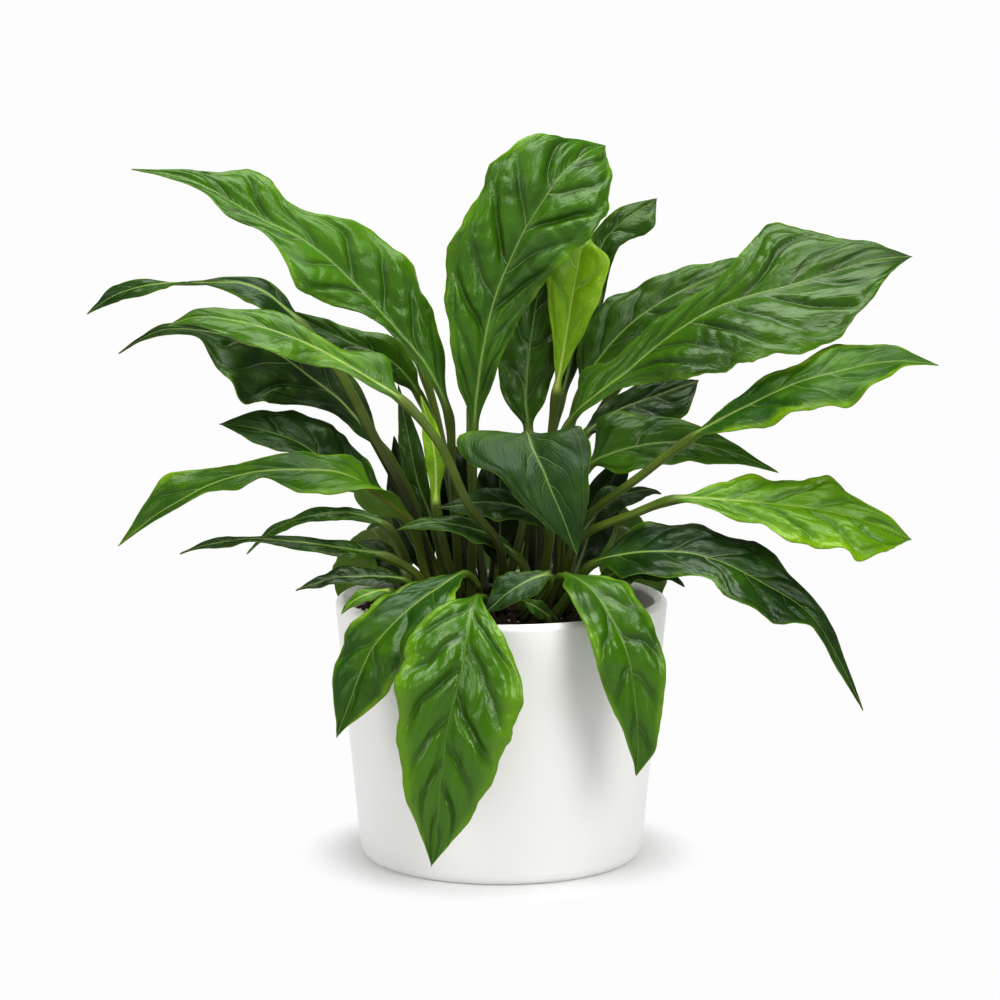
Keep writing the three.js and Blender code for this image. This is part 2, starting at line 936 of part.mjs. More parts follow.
    blade: [
      [0, 124, 250, 4, 4],
      [0, 148, 244, 20, 20],
      [2, 174, 212, 27, 27],
      [4, 192, 160, 20, 20],
      [6, 198, 98, 0, 0],
    ],
    face: [[0, 0.5, 0.8], [0, 0.95, 0.2]],
    tint: 'deep',
  },
  {
    name: 'back_right_low',
    root: [38, 84],
    stalk: [[50, 96, 215]],
    blade: [
      [64, 114, 242, 4, 4],
      [78, 134, 234, 18, 18],
      [92, 158, 200, 24, 24],
      [102, 174, 148, 17, 17],
      [108, 180, 92, 0, 0],
    ],
    face: [[0.2, 0.5, 0.8], [0.3, 0.9, 0.2]],
    tint: 'green',
  },
  {
    name: 'back_tall',
    root: [-12, 52],
    stalk: [[-22, 70, 260]],
    blade: [
      [-22, 98, 318, 4, 4],
      [-14, 128, 360, 20, 20],
      [-2, 160, 392, 26, 26],
      [10, 190, 404, 18, 18],
      [20, 218, 396, 0, 0],
    ],
    face: [[0, -0.2, 1], [0, 0.3, 1]],
    tint: 'green',
  },
  {
    name: 'back_left_high',
    root: [-28, 54],
    stalk: [[-40, 76, 270]],
    blade: [
      [-58, 104, 340, 4, 4],
      [-80, 130, 378, 16, 16],
      [-104, 156, 404, 22, 22],
      [-130, 180, 416, 15, 15],
      [-156, 200, 414, 0, 0],
    ],
    face: [[0.2, -0.4, 0.9]],
    tint: 'green',
  },
  {
    name: 'back_right_high',
    root: [30, 50],
    stalk: [[50, 72, 270]],
    blade: [
      [82, 98, 324, 4, 4],
      [112, 122, 352, 18, 18],
      [142, 146, 372, 24, 24],
      [172, 168, 382, 16, 16],
      [200, 186, 380, 0, 0],
    ],
    face: [[-0.2, -0.4, 0.9]],
    tint: 'green',
  },
  {
    name: 'back_left_drooping',
    root: [-72, 22],
    stalk: [[-82, 44, 208]],
    blade: [
      [-92, 76, 226, 4, 4],
      [-102, 102, 216, 14, 14],
      [-112, 124, 184, 18, 18],
      [-118, 138, 140, 0, 0],
    ],
    face: [[-0.4, 0.4, 0.8], [-0.5, 0.8, 0.3]],
    tint: 'bright',
  },
  {
    name: 'back_right_drooping',
    root: [74, 18],
    stalk: [[82, 42, 208]],
    blade: [
      [91, 74, 226, 4, 4],
      [101, 102, 216, 14, 14],
      [110, 126, 186, 18, 18],
      [116, 140, 140, 0, 0],
    ],
    face: [[0.4, 0.4, 0.8], [0.5, 0.8, 0.3]],
    tint: 'deep',
  },
];

for (const leaf of LEAVES) {
  addPiece(`leaf_${leaf.name}`, leafGeometry(leaf), COLOUR[leaf.tint], LEAF_ROUGHNESS);
}

export default plant;
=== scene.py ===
"""A potted bird's-nest anthurium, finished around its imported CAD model.

The CAD holds the pot, the soil and one plain solid for each leaf. Here each leaf gets its fine
surface: a channelled stalk that runs on as the midrib, and a blade with sunken ribs, quilted
fields between them, a thin pale margin and a duller underside. The surface is drawn through
the rings of six points that the leaf's CAD solid is made of, so it stays where the solid is.
Metres, +Z up, the plant's front towards -Y.
"""
import json
import math
import random
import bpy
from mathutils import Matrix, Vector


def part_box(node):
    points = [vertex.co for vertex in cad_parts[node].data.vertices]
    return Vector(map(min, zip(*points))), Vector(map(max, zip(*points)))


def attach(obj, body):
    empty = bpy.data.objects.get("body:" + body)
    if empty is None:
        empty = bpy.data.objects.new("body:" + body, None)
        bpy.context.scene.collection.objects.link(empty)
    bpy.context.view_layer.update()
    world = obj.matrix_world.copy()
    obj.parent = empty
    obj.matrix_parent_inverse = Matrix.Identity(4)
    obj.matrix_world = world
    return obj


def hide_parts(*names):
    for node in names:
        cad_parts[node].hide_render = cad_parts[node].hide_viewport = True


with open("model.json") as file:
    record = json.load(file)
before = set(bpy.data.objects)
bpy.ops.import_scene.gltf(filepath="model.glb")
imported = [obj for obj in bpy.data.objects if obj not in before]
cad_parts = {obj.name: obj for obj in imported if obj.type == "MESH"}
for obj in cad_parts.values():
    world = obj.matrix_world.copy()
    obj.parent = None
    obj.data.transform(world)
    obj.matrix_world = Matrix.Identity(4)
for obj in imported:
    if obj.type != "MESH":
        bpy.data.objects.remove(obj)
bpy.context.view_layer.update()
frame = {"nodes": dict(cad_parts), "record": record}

from types import SimpleNamespace

import bmesh
import bpy
import numpy as np
from mathutils import Vector

random.seed(11)

MM = 0.001
SLOT_OF = {part["node"]: part["material_slot"] for part in frame["record"]["subparts"]}
LEAF_NODES = sorted(name for name in frame["nodes"] if name.startswith("leaf_"))


# ---- small tools ----

def new_piece(name, points, faces, material):
    """A mesh object that rides on the one body, with the given material."""
    mesh = bpy.data.meshes.new(name)
    mesh.from_pydata(points, [], faces)
    mesh.materials.append(material)
    mesh.shade_smooth()
    piece = bpy.data.objects.new(name, mesh)
    bpy.context.scene.collection.objects.link(piece)
    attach(piece, "root")
    return piece


def smoothstep(low, high, value):
    share = np.clip((value - low) / (high - low), 0, 1)
    return share * share * (3 - 2 * share)


def unit(rows):
    return rows / np.maximum(np.linalg.norm(rows, axis=-1, keepdims=True), 1e-12)


def on_circle(radius, turn, turns):
    """X and Y of one of the evenly spaced places round a circle."""
    angle = 2 * math.pi * turn / turns
    return radius * math.cos(angle), radius * math.sin(angle)


def srgb(red, green, blue):
    """A colour given as 0 to 255 on screen, as the linear colour that shaders take."""
    def linear(value):
        value = value / 255
        return value / 12.92 if value < 0.04045 else ((value + 0.055) / 1.055) ** 2.4
    return (linear(red), linear(green), linear(blue), 1)


class Shader:
    """A material's nodes, added one call at a time."""

    def __init__(self, name):
        self.material = bpy.data.materials.new(name)
        self.material.use_nodes = True
        self.tree = self.material.node_tree
        self.surface = self.tree.nodes["Principled BSDF"]

    def put(self, socket, value):
        if isinstance(value, bpy.types.NodeSocket):
            self.tree.links.new(value, socket)
        else:
            socket.default_value = value

    def set(self, name, value):
        self.put(self.surface.inputs[name], value)

    def node(self, kind, **settings):
        node = self.tree.nodes.new(kind)
        for key, value in settings.items():
            setattr(node, key, value)
        return node

    def attribute(self, name):
        return self.node("ShaderNodeAttribute", attribute_name=name).outputs["Fac"]

    def math(self, operation, first, second=0.0):
        node = self.node("ShaderNodeMath", operation=operation)
        self.put(node.inputs[0], first)
        self.put(node.inputs[1], second)
        return node.outputs[0]

    def plus(self, first, second):
        return self.math("ADD", first, second)

    def minus(self, first, second):
        return self.math("SUBTRACT", first, second)

    def times(self, first, second):
        return self.math("MULTIPLY", first, second)

    def distance(self, value, place):
        return self.math("ABSOLUTE", self.minus(value, place))

    def off_whole(self, value):
        """How far a value is from the nearest whole number."""
        return self.distance(self.math("FRACT", self.plus(value, 0.5)), 0.5)

    def ramp(self, value, low, high, start=0.0, end=1.0):
        """The value from low to high made into start to end, with soft ends."""
        node = self.node("ShaderNodeMapRange", interpolation_type="SMOOTHSTEP")
        names = ("Value", "From Min", "From Max", "To Min", "To Max")
        for name, number in zip(names, (value, low, high, start, end)):
            self.put(node.inputs[name], number)
        return node.outputs["Result"]

    def mix(self, share, first, second):
        node = self.node("ShaderNodeMix", data_type="RGBA")
        self.put(node.inputs[0], share)
        self.put(node.inputs[6], first)
        self.put(node.inputs[7], second)
        return node.outputs[2]

    def place(self):
        return self.node("ShaderNodeTexCoord").outputs["Object"]

    def noise(self, scale, detail=3, roughness=0.5):
        node = self.node("ShaderNodeTexNoise")
        self.put(node.inputs["Vector"], self.place())
        self.put(node.inputs["Scale"], scale)
        self.put(node.inputs["Detail"], detail)
        self.put(node.inputs["Roughness"], roughness)
        return node.outputs["Fac"]

    def bump(self, height, strength, distance):
        node = self.node("ShaderNodeBump")
        self.put(node.inputs["Height"], height)
        self.put(node.inputs["Strength"], strength)
        self.put(node.inputs["Distance"], distance)
        self.put(self.surface.inputs["Normal"], node.outputs[0])


# ---- leaf materials ----
# A leaf's points carry what its material reads: along, the share of the blade's length from its
# foot; across, the share of its width from the midrib; phase, a whole number on each side rib;
# and blade, under and midrib, which are 1 on the blade, on its underside and on the midrib.

RIB_REACH = 0.032           # half widths: of a side rib and of the painted shade in its hollow, in steps between ribs
HOLLOW_SHADE_REACH = 0.24
# how far the painted shade in the rib hollows darkens the leaf towards its deep green
HOLLOW_SHADE_DARKNESS = 0.45
SMALL_RIBS = 3              # fine ribs to one side rib
SMALL_RIB_REACH = 0.09      # half width of one, in steps between fine ribs
COLLECTOR_PLACE = 0.83      # where across the fine vein runs that joins the side ribs' ends
COLLECTOR_REACH = 0.02      # and its half width, as a share of the half blade's
NET_CELLS = 6               # cells of the vein net from one side rib to the next
NET_CELL = 4.2 * MM         # length of a cell of the net, out from the midrib
VEIN_BUMP = 0.2 * MM
SPECULAR = 0.38
COAT_ROUGHNESS = 0.3
COAT_WEIGHT = 0.17
GLOSS_SMOOTHING = 0.12      # taken off the roughness where gloss is 1
UNDERSIDE_DULLING = 0.2     # added to the roughness on the underside

UNDERSIDE = srgb(88, 112, 40)
UNDERSIDE_RIB = srgb(150, 160, 90)
UNDERSIDE_MIDRIB = srgb(120, 96, 52)
RIM = srgb(122, 156, 44)
STALK_DARK = srgb(62, 86, 14)
STALK_LIGHT = srgb(102, 118, 36)
# painted shade that darkens the stalk near the soil
STALK_FOOT_SHADE = srgb(34, 30, 8)


def leaf_veins(shader, across, phase):
    """Strength of a side rib, of the painted shade in its hollow, of a fine rib and of the
    collector.
    """
    beside = shader.off_whole(phase)
    inward = shader.ramp(across, 0.75, 0.12, 0.12, 1)
    main = shader.times(shader.ramp(beside, RIB_REACH, 0.004), inward)
    main = shader.times(main, shader.ramp(shader.noise(24, 2), 0.35, 0.62, 0.35, 1))
    inward = shader.ramp(across, 0.85, 0.5)
    # Painted shade in the hollow beside each side rib, fading out towards the margin.
    hollow_shade = shader.times(shader.ramp(beside, HOLLOW_SHADE_REACH, 0.03, 0, HOLLOW_SHADE_DARKNESS), inward)
    beside_small = shader.off_whole(shader.times(phase, SMALL_RIBS))
    small = shader.ramp(beside_small, SMALL_RIB_REACH, 0.0)
    collector = shader.ramp(shader.distance(across, COLLECTOR_PLACE), COLLECTOR_REACH, 0.0)
    return SimpleNamespace(main=main, hollow_shade=hollow_shade, small=small, collector=collector)


def leaf_colour(shader, mottle, across, veins, deep, light, margin, rib):
    """The mottled upper face with painted shade in the rib hollows, the dull underside, the pale
    rim and the stalk, with painted shade at its foot.
    """
    midrib = shader.attribute("midrib")
    blotch = shader.attribute("blotch")

    # The tone is each leaf's own paleness, and on the inner back leaves painted shade.
    shade = shader.plus(shader.times(mottle, 1.1), shader.times(shader.attribute("tone_and_inner_shade"), 0.8))
    shade = shader.plus(shade, shader.times(shader.noise(70, 3, 0.6), 0.35))
    upper = shader.mix(shader.ramp(shade, 0.85, 1.55), deep, light)
    edge = shader.plus(across, shader.times(shader.noise(30, 3), 0.7))
    edge = shader.plus(edge, shader.times(blotch, 0.1))
    upper = shader.mix(shader.ramp(edge, 1.22, 1.55, 0, 0.75), upper, margin)
    # Painted shade: the hollows beside the side ribs are darkened towards the deep green.
    upper = shader.mix(veins.hollow_shade, upper, deep)
    upper = shader.mix(shader.times(veins.collector, 0.12), upper, rib)
    paleness = shader.minus(1.0, shader.times(shader.math("ABSOLUTE", blotch), 0.25))
    pale = shader.math(
        "MAXIMUM", shader.times(veins.main, 0.55), shader.ramp(midrib, 0.4, 1.0, 0, 0.85))
    upper = shader.mix(shader.times(pale, paleness), upper, rib)

    lower = shader.mix(shader.ramp(mottle, 0.3, 0.7, 0.1, 0.6), UNDERSIDE, light)
    lower = shader.mix(shader.times(veins.main, 0.4), lower, UNDERSIDE_RIB)
    lower = shader.mix(shader.times(midrib, 0.7), lower, UNDERSIDE_MIDRIB)

    blade = shader.attribute("blade")
    colour = shader.mix(shader.attribute("under"), upper, lower)
    rim = shader.ramp(across, 0.972, 0.995, 0, 0.6)
    colour = shader.mix(shader.times(rim, blade), colour, RIM)
    stalk = shader.mix(shader.noise(60, 3), STALK_DARK, STALK_LIGHT)
    # Painted shade: the stalk darkens towards the soil, under the leaves above it.
    foot_shade = shader.ramp(shader.attribute("along"), -0.15, -1.0, 0, 0.85)
    stalk = shader.mix(foot_shade, stalk, STALK_FOOT_SHADE)
    return shader.mix(blade, stalk, colour)


def leaf_sheen(shader, roughness):
    """A leathery gloss in patches, with a thin waxy coat on the upper face only."""
    gloss = shader.attribute("gloss")
    under = shader.attribute("under")
    patches = shader.ramp(shader.noise(20, 3), 0.35, 0.7, roughness - 0.02, roughness + 0.12)
    patches = shader.minus(patches, shader.times(gloss, GLOSS_SMOOTHING))
    shader.set("Roughness", shader.plus(patches, shader.times(under, UNDERSIDE_DULLING)))
    shader.set("Specular IOR Level", SPECULAR)
    shader.set("Coat Roughness", COAT_ROUGHNESS)
    coat = shader.times(gloss, COAT_WEIGHT)
    shader.set("Coat Weight", shader.times(coat, shader.minus(1.0, under)))


def leaf_relief(shader, phase, veins):
    """The finest relief: the swollen cells of the vein net, with sunken ribs."""
    cells = shader.node("ShaderNodeTexVoronoi", feature="DISTANCE_TO_EDGE")
    grid = shader.node("ShaderNodeCombineXYZ")
    shader.put(grid.inputs[0], shader.times(phase, NET_CELLS))
    shader.put(grid.inputs[1], shader.attribute("cells_out"))
    shader.put(grid.inputs[2], shader.noise(18, 1))
    shader.put(cells.inputs["Vector"], grid.outputs[0])
    shader.put(cells.inputs["Scale"], 1.0)
    height = shader.ramp(cells.outputs["Distance"], 0.0, 0.3)
    height = shader.plus(height, shader.times(shader.noise(90, 1), 0.5))
    height = shader.minus(height, shader.times(veins.small, 0.25))
    height = shader.minus(height, shader.times(veins.main, 1.4))
    shader.bump(shader.times(height, shader.attribute("blade")), 0.6, VEIN_BUMP)


def leaf_material(slot, deep, light, margin, rib, roughness):
    """Leathery leaf: mottled green with painted shade in the rib hollows, pale ribs and margin,
    dull olive underside and stalk with painted shade at its foot.
    """
    shader = Shader(slot)
    across = shader.attribute("across")
    phase = shader.attribute("phase")
    mottle = shader.noise(15, 3, 0.55)
    veins = leaf_veins(shader, across, phase)
    colour = leaf_colour(shader, mottle, across, veins, deep, light, margin, rib)
    shader.set("Base Color", colour)
    leaf_sheen(shader, roughness)
    leaf_relief(shader, phase, veins)
    return shader.material


LEAF_MATERIALS = {
    "leaf_dark": leaf_material(
        "leaf_dark", deep=srgb(18, 46, 0), light=srgb(66, 106, 0),
        margin=srgb(90, 130, 0), rib=srgb(134, 158, 80), roughness=0.42,
    ),
    "leaf_green": leaf_material(
        "leaf_green", deep=srgb(22, 56, 0), light=srgb(74, 120, 0),
        margin=srgb(110, 152, 0), rib=srgb(140, 166, 86), roughness=0.44,
    ),
    "leaf_bright": leaf_material(
        "leaf_bright", deep=srgb(40, 84, 0), light=srgb(98, 142, 0),
        margin=srgb(132, 170, 0), rib=srgb(168, 188, 100), roughness=0.42,
    ),
    # The young leaves' pale yellow green is partly their own colour and partly painted light
    # shining through them.
    "leaf_young": leaf_material(
        "leaf_young", deep=srgb(100, 142, 4), light=srgb(142, 182, 16),
        margin=srgb(164, 196, 40), rib=srgb(200, 212, 124), roughness=0.46,
    ),
}


# ---- plain materials ----

def glaze_material():
    """White satin glaze, faintly uneven."""
    shader = Shader("pot_glaze")
    tint = shader.mix(shader.noise(9, 2), srgb(247, 246, 244), srgb(243, 242, 240))
    shader.set("Base Color", tint)
    shader.set("Roughness", shader.ramp(shader.noise(6, 1), 0.2, 0.8, 0.28, 0.32))
    shader.set("Specular IOR Level", 0.5)
    return shader.material


def soil_material():
    """Moist dark brown bark and peat mix."""
    shader = Shader("potting_soil")
    crumbs = shader.ramp(shader.noise(420, 5, 0.7), 0.3, 0.75)
    shader.set("Base Color", shader.mix(crumbs, srgb(20, 13, 9), srgb(74, 50, 34)))
    shader.set("Roughness", shader.ramp(shader.noise(300, 3), 0.3, 0.7, 0.7, 0.95))
    shader.bump(shader.noise(900, 5, 0.7), 0.8, 1.2 * MM)
    return shader.material


def perlite_material():
    """White expanded mineral grains."""
    shader = Shader("perlite")
    colour = shader.mix(shader.noise(500, 4), srgb(238, 232, 222), srgb(176, 160, 140))
    shader.set("Base Color", colour)
    shader.set("Roughness", shader.ramp(shader.noise(900, 3), 0.3, 0.7, 0.75, 0.95))
    shader.bump(shader.noise(2500, 3), 0.6, 0.3 * MM)
    return shader.material


# ---- leaves ----

RING_POINTS = 6             # in each ring of a leaf's CAD solid
END_RING_EDGES = 5          # that meet at each corner of a leaf's first and last ring
PROBE_RING = 2              # a ring well up the stalk, which shows which of its points is which
STALK_EDGE_SHARE = 0.97     # a ring is stalk if its sides are this thick, against the stalk's
STALK_FLARE = 0.45          # how much wider the stalk is at the soil
STALK_FLARE_HEIGHT = 9 * MM
KNEE_SWELL = 0.22           # and in the knee where the blade starts
KNEE_LENGTH = 8 * MM
STALK_DEPTH = 0.95          # of the stalk's upper half, in its own radii
CHANNEL_DEPTH = 0.45        # of the channel in it
STALK_STEP = 5 * MM         # from row to row of points along the stalk
ROW_STEP = 1.9 * MM         # and along the blade
COLUMN_STEP = 1.5 * MM      # from column to column across the blade
COLUMNS = (8, 32)           # fewest and most columns on each side of the midrib
BELOW_SHARE = 0.65          # the midrib's line lies this share of the way up its thickness
BLADE_THICKNESS = 0.9 * MM
EDGE_THICKNESS = 0.4 * MM
TIP_THINNING = 0.4          # share of the thickness that is gone at the tip
BLADE_START = 0.13          # share of the blade over which the stalk's shape becomes the blade's
CALM_FOOT = 0.2             # the relief grows over this share of the blade
CALM_TIP = 0.93             # and fades from this one to the tip
MIDRIB_RADIUS = 0.72        # at the blade's foot, in radii of the stalk
MIDRIB_TAPER = 0.6
RIDGE_SPREAD = 0.95         # how wide and how far the midrib stands out, in its own radii
RIDGE_ABOVE = 0.42
RIDGE_BELOW = 1.25
SIDE_RIB_STEP = 32 * MM
SIDE_RIBS = (4, 9)          # fewest and most side ribs on each side of the midrib
SIDE_RIB_SLANT = 1.15       # how far a side rib leans to the tip, in widths of its half blade
LEFT_RIGHT_OFFSET = 0.38    # the right side's ribs start this share of a step before the left's
QUILT_DEPTH = 0.115         # of the half blade's width there, up to that of QUILT_WIDTH
QUILT_WIDTH = 46 * MM
PUCKER_DEPTH = 1.0 * MM
PUCKER_STEP = 9.5 * MM
COLLECTOR_DEPTH = 0.7 * MM
COLLECTOR_LEAST_WIDTH = 9 * MM
# Slow shapes of the half blade, in shares of its width there.
BELLY = 0.06
DROOP = 0.06
CRUMPLE = 0.03
FRILL = 0.055
SCALLOP = 0.028
FINE_SCALLOP = 0.006

# How each leaf differs: paleness (on the inner back leaves, painted shade), gloss, quilting,
# waviness and yellow blotches at the margin.
# The inner back leaves are painted darker, as shade where the leaves in front cover them.
INNER_STYLE = (-0.4, 0.2, 1.0, 1.0, -1.0)
STYLE = {
    "leaf_tall_centre": (0.7, 1.1, 1.4, 0.9, 0.3),
    "leaf_young_pale": (0.7, 0.5, 0.7, 0.6, 0.3),
    "leaf_great_right": (0.8, 1.4, 1.0, 0.8, 0.2),
    "leaf_heart": (0.35, 0.0, 0.25, 0.2, -1.0),
    "leaf_long_bright_left": (0.5, 1.0, 0.7, 0.8, -0.5),
    "leaf_bright_right": (0.9, 1.0, 1.5, 1.0, 1.4),
    "leaf_front_great_drooping": (1.05, 1.9, 1.35, 0.7, 2.4),
    "leaf_front_left_drooping": (0.3, 0.8, 1.2, 1.0, 1.4),
    "leaf_front_right_drooping": (0.75, 1.4, 1.4, 0.6, 1.6),
    "leaf_great_left_wavy": (0.8, 1.1, 1.1, 1.5, 0.4),
    "leaf_left_great_dark": (0.55, 0.7, 1.0, 1.0, 0.0),
    "leaf_left_dark": (0.45, 0.6, 1.0, 1.3, 0.0),
    "leaf_left_bright_arching": (0.55, 0.8, 0.9, 1.2, 0.5),
    "leaf_long_stalk_right": (0.3, 0.4, 1.0, 1.2, 1.4),
}


def corners_and_neighbours(node):
    """The distinct corners of a node's solid, and which corners share an edge."""
    mesh = frame["nodes"][node].data
    places = np.empty(len(mesh.vertices) * 3)
    mesh.vertices.foreach_get("co", places)
    corners, index = np.unique(np.round(places.reshape(-1, 3), 6), axis=0, return_inverse=True)
    index = index.reshape(-1)
    neighbours = [set() for _ in corners]
    for face in mesh.polygons:
        loop = [index[vertex] for vertex in face.vertices]
        for first, second in zip(loop, loop[1:] + loop[:1]):
            neighbours[first].add(second)
            neighbours[second].add(first)
    return corners, neighbours


def first_ring(corners, neighbours, foot):
    """The six corners round the foot, in order, so that later rings can follow them."""
    ring = [min(neighbours[foot])]
    while len(ring) < RING_POINTS:
        ring.append(min(i for i in neighbours[ring[-1]] & neighbours[foot] if i not in ring))
    beyond = set().union(*(neighbours[i] for i in ring)) - {foot, *ring}
    centre = corners[ring].mean(axis=0)
    forward = corners[sorted(beyond)].mean(axis=0) - centre
    arms = corners[ring] - centre
    if np.cross(arms, np.roll(arms, -1, axis=0)).sum(axis=0) @ forward > 0:
        ring.reverse()
    return ring


def section_order(shape):
    """The order that puts a ring's points as leaf_rings gives them, told from one slim ring:
    the midrib above is the point nearest to its middle."""
    probe = shape[PROBE_RING]
    centre = probe.mean(axis=0)
    top = int(np.argmin(np.linalg.norm(probe - centre, axis=1)))
    forward = shape[PROBE_RING + 1].mean(axis=0) - centre
    up = probe[top] - probe[(top + RING_POINTS // 2) % RING_POINTS]
    rightward = np.cross(forward, up)
    turn = -1 if np.dot(probe[(top + 1) % RING_POINTS] - centre, rightward) > 0 else 1
    return [(top - turn + turn * i) % RING_POINTS for i in range(RING_POINTS)]


def leaf_rings(node):
    """The rings of a leaf's solid from the soil to the tip: right edge above, midrib above,
    left edge above, left edge below, midrib below, right edge below; and the tip itself."""
    corners, neighbours = corners_and_neighbours(node)
    ends = [
        i for i, near in enumerate(neighbours)
        if all(len(neighbours[j]) == END_RING_EDGES for j in near)
    ]
    soil_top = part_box("soil")[1].z
    foot = min(ends, key=lambda i: abs(corners[i][2] - soil_top))
    tip = max(ends, key=lambda i: abs(corners[i][2] - soil_top))

    rings = [first_ring(corners, neighbours, foot)]
    used = {foot, *rings[0]}
    while tip not in neighbours[rings[-1][0]]:
        last = rings[-1]
        following = []
        for place in range(RING_POINTS):
            shared = (neighbours[last[place - 1]] & neighbours[last[place]]) - used
            following.append(shared.pop())
        used.update(following)
        rings.append(following)
    shape = np.array([[corners[i] for i in ring] for ring in rings])
    return shape[:, section_order(shape)], corners[tip]


def spline(rows, places):
    """A smooth curve through evenly numbered rows, at fractional row numbers."""
    last = len(rows) - 1
    low = np.clip(np.floor(places).astype(int), 0, last - 1)
    f = (places - low)[:, None]
    before = rows[np.maximum(low - 1, 0)]
    start = rows[low]
    end = rows[low + 1]
    after = rows[np.minimum(low + 2, last)]
    return 0.5 * (
        2 * start + (end - before) * f
        + (2 * before - 5 * start + 4 * end - after) * f ** 2
        + (3 * start - before - 3 * end + after) * f ** 3
    )


def even_places(line, first, last, step):
    """Fractional row numbers between two rows, evenly spaced along the line, and its length."""
    fine = np.linspace(first, last, 40 * max(int(last - first), 1) + 1)
    lengths = np.linalg.norm(np.diff(spline(line, fine), axis=0), axis=1)
    run = np.concatenate([[0], np.cumsum(lengths)])
    count = max(int(round(run[-1] / step)), 4)
    return np.interp(np.linspace(0, run[-1], count + 1), run, fine), run[-1]


def leaf_course(node):
    """The leaf's lines row by row: its midrib, the reach from there to each edge, the ways
    that are sideways and up, and along, which is 0 at the blade's foot and 1 at its tip."""
    rings, tip = leaf_rings(node)
    right = (rings[:, 0] + rings[:, 5]) / 2
    left = (rings[:, 2] + rings[:, 3]) / 2
    middle = rings[:, 4] + (rings[:, 1] - rings[:, 4]) * BELOW_SHARE
    sides = unit(right - left)
    sides = np.vstack([sides, sides[-1]])
    edges = np.linalg.norm(rings[:, 0] - rings[:, 5], axis=1)
    blade_ring = int(np.max(np.nonzero(edges > STALK_EDGE_SHARE * edges[1])[0]))
    right, left, middle = (np.vstack([rows, tip]) for rows in (right, left, middle))

    stalk_places, stalk_length = even_places(middle, 0, blade_ring, STALK_STEP)
    blade_places, blade_length = even_places(middle, blade_ring, len(middle) - 1, ROW_STEP)
    places = np.concatenate([stalk_places[:-1], blade_places])
    along = np.concatenate([
        np.linspace(-stalk_length / blade_length, 0, len(stalk_places))[:-1],
        np.linspace(0, 1, len(blade_places)),
    ])[:, None]
    centre = spline(middle, places)
    side = unit(spline(sides, places))
    return SimpleNamespace(
        centre=centre,
        side=side,
        up=unit(np.cross(side, unit(np.gradient(centre, axis=0)))),
        reach={1: spline(right, places) - centre, -1: spline(left, places) - centre},
        along=along,
        share=np.clip(along, 0, 1),
        blade_length=blade_length,
        stalk_length=stalk_length,
        stalk_radius=np.linalg.norm(right[1] - left[1]) / 2,
    )


def leaf_columns(width):
    """The columns round a leaf: face (1 above, -1 below), hand (1 right, -1 left) and v, the
    share of the way from the midrib to the edge."""
    count = int(np.clip(round(width / COLUMN_STEP), *COLUMNS))
    step = np.linspace(0, 1, count + 1)
    spread = 0.55 * step + 0.45 * step ** 2
    columns = []
    for level, hands in ((1, (1, -1)), (-1, (-1, 1))):
        columns += [(level, hands[0], float(v)) for v in spread[::-1]]
        columns += [(level, hands[1], float(v)) for v in spread[1:]]
    return columns


def rib_phase(share, hand, v, rib_count, slant, wander):
    """The side ribs' numbering down one column: a whole number on each rib."""
    offset = LEFT_RIGHT_OFFSET if hand > 0 and v > 0 else 0.0
    drift = (
        0.14 * np.sin(6 * share + wander[0] + 2 * hand)
        + 0.05 * np.sin(15 * share + 2.5 * v + wander[1])
        + 0.03 * np.sin(9 * v + 23 * share + wander[6])
    )
    return (share - slant * v ** 1.12) * rib_count + offset + drift


def quilted(phase, local, v, hand, quilting, wander):
    """The field between two ribs swells up, with puckers on it that run from rib to rib."""
    beside = np.abs(phase - np.round(phase))
    pillow = 1 - np.exp(-(beside / 0.15) ** 1.5)
    inner = smoothstep(0.02, 0.22, v) * (1 - smoothstep(0.74, 0.9, v))
    strength = 0.7 + 0.3 * np.sin(3.3 * phase + wander[7] + hand)
    depth = QUILT_DEPTH * quilting * np.minimum(local, QUILT_WIDTH)
    swell = depth * (pillow - 0.6) * inner * strength
    cell = v * local / PUCKER_STEP + 0.35 * np.sin(5.1 * phase + wander[8]) + 0.6 * phase
    border = np.abs(cell - np.round(cell))
    puckers = PUCKER_DEPTH * quilting * pillow * (0.5 - np.exp(-(border / 0.2) ** 2))
    puckers = puckers * smoothstep(0.1, 0.3, v) * (0.65 + 0.35 * np.sin(4.7 * phase + 9 * v))
    return swell + puckers


def waved(share, local, v, hand, waviness, wander):
    """The half blade's slow shapes: its belly, its drooping edge, creases and a frilled edge."""
    belly = BELLY * local * math.sin(math.pi * min(v * 1.02, 1))
    droop = -DROOP * local * v ** 5
    crumple = CRUMPLE * local * v * (
        np.sin(19 * share + 4 * v + wander[2] + hand)
        + 0.6 * np.sin(33 * share - 6 * v + wander[3])
    ) * waviness
    frill = FRILL * local * v ** 3 * (
        np.sin(22 * share + wander[4] + 2 * hand) + 0.7 * np.sin(39 * share + wander[5] - hand)
    ) * waviness
    return belly + droop + crumple + frill


def stalk_section(course, level, hand, v):
    """A column of the stalk: round below, channelled above, flared at the soil and swollen in
    a knee where the blade starts."""
    from_soil = course.along * course.blade_length + course.stalk_length
    from_knee = (course.along + 0.02) * course.blade_length
    flare = 1 + STALK_FLARE * np.exp(-from_soil / STALK_FLARE_HEIGHT)
    knee = 1 + KNEE_SWELL * np.exp(-(from_knee / KNEE_LENGTH) ** 2)
    radius = course.stalk_radius * flare * knee
    angle = math.pi / 2 * (1 - v)
    height = math.sin(angle)
    if level > 0:
        height *= STALK_DEPTH - CHANNEL_DEPTH * math.exp(-((v / 0.4) ** 2))
    return (
        course.centre + course.side * (hand * math.cos(angle) * radius)
        + course.up * (level * height * radius)
    )


